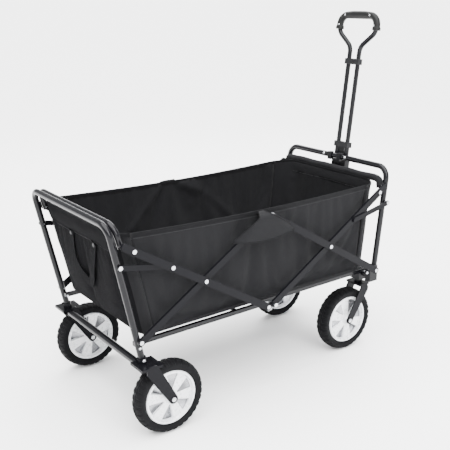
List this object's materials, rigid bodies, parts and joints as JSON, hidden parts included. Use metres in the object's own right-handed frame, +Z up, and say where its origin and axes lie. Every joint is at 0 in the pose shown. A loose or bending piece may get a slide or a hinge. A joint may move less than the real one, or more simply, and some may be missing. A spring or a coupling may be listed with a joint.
{
  "type": "wagon",
  "caption": "folding utility wagon with a fabric tub on a tube frame, side scissor bars, swivelling front wheels and a telescoping pull handle",
  "frame": {"origin": "on the floor, below the middle of the bounding box", "axes": "+X towards the front (the pull handle's end), +Y to the left, +Z up"},
  "size_m": [1.0333, 0.521, 1.0159],
  "materials": {
    "frame_paint": "glossy",
    "cloth": "woven",
    "rim_plastic": "satin",
    "tyre": "matte",
    "black_plastic": "satin",
    "rivet_steel": "brushed"
  },
  "bodies": {
    "rear_frame": {"rear_u_tube": "frame_paint", "rear_cross_tube": "frame_paint", "rear_fork_right": "black_plastic", "rear_fork_left": "black_plastic", "rear_axles": "rivet_steel", "rear_frame_pins": "rivet_steel", "rear_panel": "cloth", "rear_strap": "cloth"},
    "short_bars_rear": {"short_bar_rear_right": "frame_paint", "short_bar_rear_left": "frame_paint"},
    "long_bars_rear": {"long_bar_rear_right": "frame_paint", "long_bar_rear_left": "frame_paint", "crossing_pins_rear": "rivet_steel", "tip_pins_rear": "rivet_steel"},
    "lower_joints": {"lower_joint_plates": "rivet_steel", "side_panel_right": "cloth", "side_panel_left": "cloth", "floor_cloth": "cloth"},
    "long_bars_front": {"long_bar_front_right": "frame_paint", "long_bar_front_left": "frame_paint", "crossing_pins_front": "rivet_steel", "tip_pins_front": "rivet_steel"},
    "short_bars_front": {"short_bar_front_right": "frame_paint", "short_bar_front_left": "frame_paint"},
    "front_frame": {"front_u_tube": "frame_paint", "front_cross_tube": "frame_paint", "front_feet": "black_plastic", "caster_sockets": "black_plastic", "front_frame_pins": "rivet_steel", "handle_hinge": "frame_paint", "handle_rail_clip": "black_plastic", "front_panel": "cloth"},
    "upper_joints": {"upper_joint_plates": "rivet_steel", "joint_patches": "cloth"},
    "rear_links": {"links_rear": "frame_paint"},
    "front_links": {"links_front": "frame_paint"},
    "rear_inner": {"inner_tube_rear": "frame_paint"},
    "front_inner": {"inner_tube_front": "frame_paint"},
    "floor_rear": {"floor_frame_rear": "frame_paint", "floor_board_rear": "cloth"},
    "floor_front": {"floor_frame_front": "frame_paint", "floor_board_front": "cloth"},
    "wheel_rear_right": {"tyre_rear_right": "tyre", "rim_rear_right": "rim_plastic"},
    "wheel_rear_left": {"tyre_rear_left": "tyre", "rim_rear_left": "rim_plastic"},
    "caster_right": {"caster_fork_right": "black_plastic", "caster_axles_right": "rivet_steel"},
    "caster_left": {"caster_fork_left": "black_plastic", "caster_axles_left": "rivet_steel"},
    "wheel_front_right": {"tyre_front_right": "tyre", "rim_front_right": "rim_plastic"},
    "wheel_front_left": {"tyre_front_left": "tyre", "rim_front_left": "rim_plastic"},
    "handle_lower": {"handle_lower_tubes": "frame_paint", "handle_clamp": "black_plastic", "handle_top_cap": "black_plastic"},
    "handle_upper": {"handle_upper_tubes": "frame_paint", "handle_collar": "black_plastic", "hand_grip": "black_plastic"}
  },
  "joints": [
    {"name": "fold", "type": "hinge", "parent": "rear_frame", "child": "short_bars_rear", "pos_m": [-0.44512, 0, 0.26882], "axis": [0, -1, 0], "range_deg": [0, 48.3], "deforming": ["side_panel_right", "side_panel_left", "floor_cloth", "rear_panel", "front_panel", "rear_strap"]},
    {"name": "long_bars_rear_turn", "type": "hinge", "parent": "short_bars_rear", "child": "long_bars_rear", "pos_m": [-0.25539, 0, 0.386], "axis": [0, -1, 0], "range_deg": [-96.6, 0]},
    {"name": "lower_joints_turn", "type": "hinge", "parent": "long_bars_rear", "child": "lower_joints", "pos_m": [-0.0529, 0, 0.26094], "axis": [0, -1, 0], "range_deg": [0, 48.3]},
    {"name": "long_bars_front_turn", "type": "hinge", "parent": "lower_joints", "child": "long_bars_front", "pos_m": [-0.0279, 0, 0.26094], "axis": [0, -1, 0], "range_deg": [0, 48.3]},
    {"name": "short_bars_front_turn", "type": "hinge", "parent": "long_bars_front", "child": "short_bars_front", "pos_m": [0.17459, 0, 0.386], "axis": [0, -1, 0], "range_deg": [-96.6, 0]},
    {"name": "front_frame_turn", "type": "hinge", "parent": "short_bars_front", "child": "front_frame", "pos_m": [0.36432, 0, 0.26882], "axis": [0, -1, 0], "range_deg": [0, 48.3]},
    {"name": "upper_joints_turn", "type": "hinge", "parent": "short_bars_rear", "child": "upper_joints", "pos_m": [-0.0529, 0, 0.51106], "axis": [0, -1, 0], "range_deg": [-48.3, 0]},
    {"name": "rear_links_turn", "type": "hinge", "parent": "rear_frame", "child": "rear_links", "pos_m": [-0.4892, 0, 0.473], "axis": [0, -1, 0], "range_deg": [0, 74.24]},
    {"name": "front_links_turn", "type": "hinge", "parent": "front_frame", "child": "front_links", "pos_m": [0.40599, 0, 0.473], "axis": [0, -1, 0], "range_deg": [-74.24, 0]},
    {"name": "rear_inner_turn", "type": "hinge", "parent": "long_bars_rear", "child": "rear_inner", "pos_m": [-0.47831, 0, 0.52367], "axis": [0, -1, 0], "range_deg": [0, 48.3]},
    {"name": "front_inner_turn", "type": "hinge", "parent": "long_bars_front", "child": "front_inner", "pos_m": [0.39751, 0, 0.52367], "axis": [0, -1, 0], "range_deg": [-48.3, 0]},
    {"name": "floor_rear_lift", "type": "hinge", "parent": "rear_frame", "child": "floor_rear", "pos_m": [-0.44512, 0, 0.2525], "axis": [0, -1, 0], "range_deg": [0, 76.8]},
    {"name": "floor_front_lift", "type": "hinge", "parent": "front_frame", "child": "floor_front", "pos_m": [0.36432, 0, 0.2525], "axis": [0, -1, 0], "range_deg": [-76.8, 0]},
    {"name": "wheel_spin_rear_right", "type": "hinge", "parent": "rear_frame", "child": "wheel_rear_right", "pos_m": [-0.3744, -0.228, 0.099], "axis": [0, 1, 0], "continuous": true},
    {"name": "caster_swivel_right", "type": "hinge", "parent": "front_frame", "child": "caster_right", "pos_m": [0.3736, -0.16, 0.205], "axis": [0, 0, 1], "continuous": true},
    {"name": "wheel_spin_front_right", "type": "hinge", "parent": "caster_right", "child": "wheel_front_right", "pos_m": [0.3136, -0.16, 0.099], "axis": [0, 1, 0], "continuous": true},
    {"name": "wheel_spin_rear_left", "type": "hinge", "parent": "rear_frame", "child": "wheel_rear_left", "pos_m": [-0.3744, 0.228, 0.099], "axis": [0, 1, 0], "continuous": true},
    {"name": "caster_swivel_left", "type": "hinge", "parent": "front_frame", "child": "caster_left", "pos_m": [0.3736, 0.16, 0.205], "axis": [0, 0, 1], "continuous": true},
    {"name": "wheel_spin_front_left", "type": "hinge", "parent": "caster_left", "child": "wheel_front_left", "pos_m": [0.3136, 0.16, 0.099], "axis": [0, 1, 0], "continuous": true},
    {"name": "handle_tilt", "type": "hinge", "parent": "front_frame", "child": "handle_lower", "pos_m": [0.3956, 0, 0.234], "axis": [0, 1, 0], "range_deg": [0, 85]},
    {"name": "handle_slide", "type": "slide", "parent": "handle_lower", "child": "handle_upper", "axis": [0.1392, 0, 0.9903], "range_m": [-0.22, 0]}
  ],
  "couplings": [
    {"joint": "long_bars_rear_turn", "follows": "fold", "ratio": -2},
    {"joint": "lower_joints_turn", "follows": "fold", "ratio": 1},
    {"joint": "long_bars_front_turn", "follows": "fold", "ratio": 1},
    {"joint": "short_bars_front_turn", "follows": "fold", "ratio": -2},
    {"joint": "front_frame_turn", "follows": "fold", "ratio": 1},
    {"joint": "upper_joints_turn", "follows": "fold", "ratio": -1},
    {"joint": "rear_links_turn", "follows": "fold", "ratio": 1.537},
    {"joint": "front_links_turn", "follows": "fold", "ratio": -1.537},
    {"joint": "rear_inner_turn", "follows": "fold", "ratio": 1},
    {"joint": "front_inner_turn", "follows": "fold", "ratio": -1},
    {"joint": "floor_rear_lift", "follows": "fold", "ratio": 1.59},
    {"joint": "floor_front_lift", "follows": "fold", "ratio": -1.59}
  ]
}
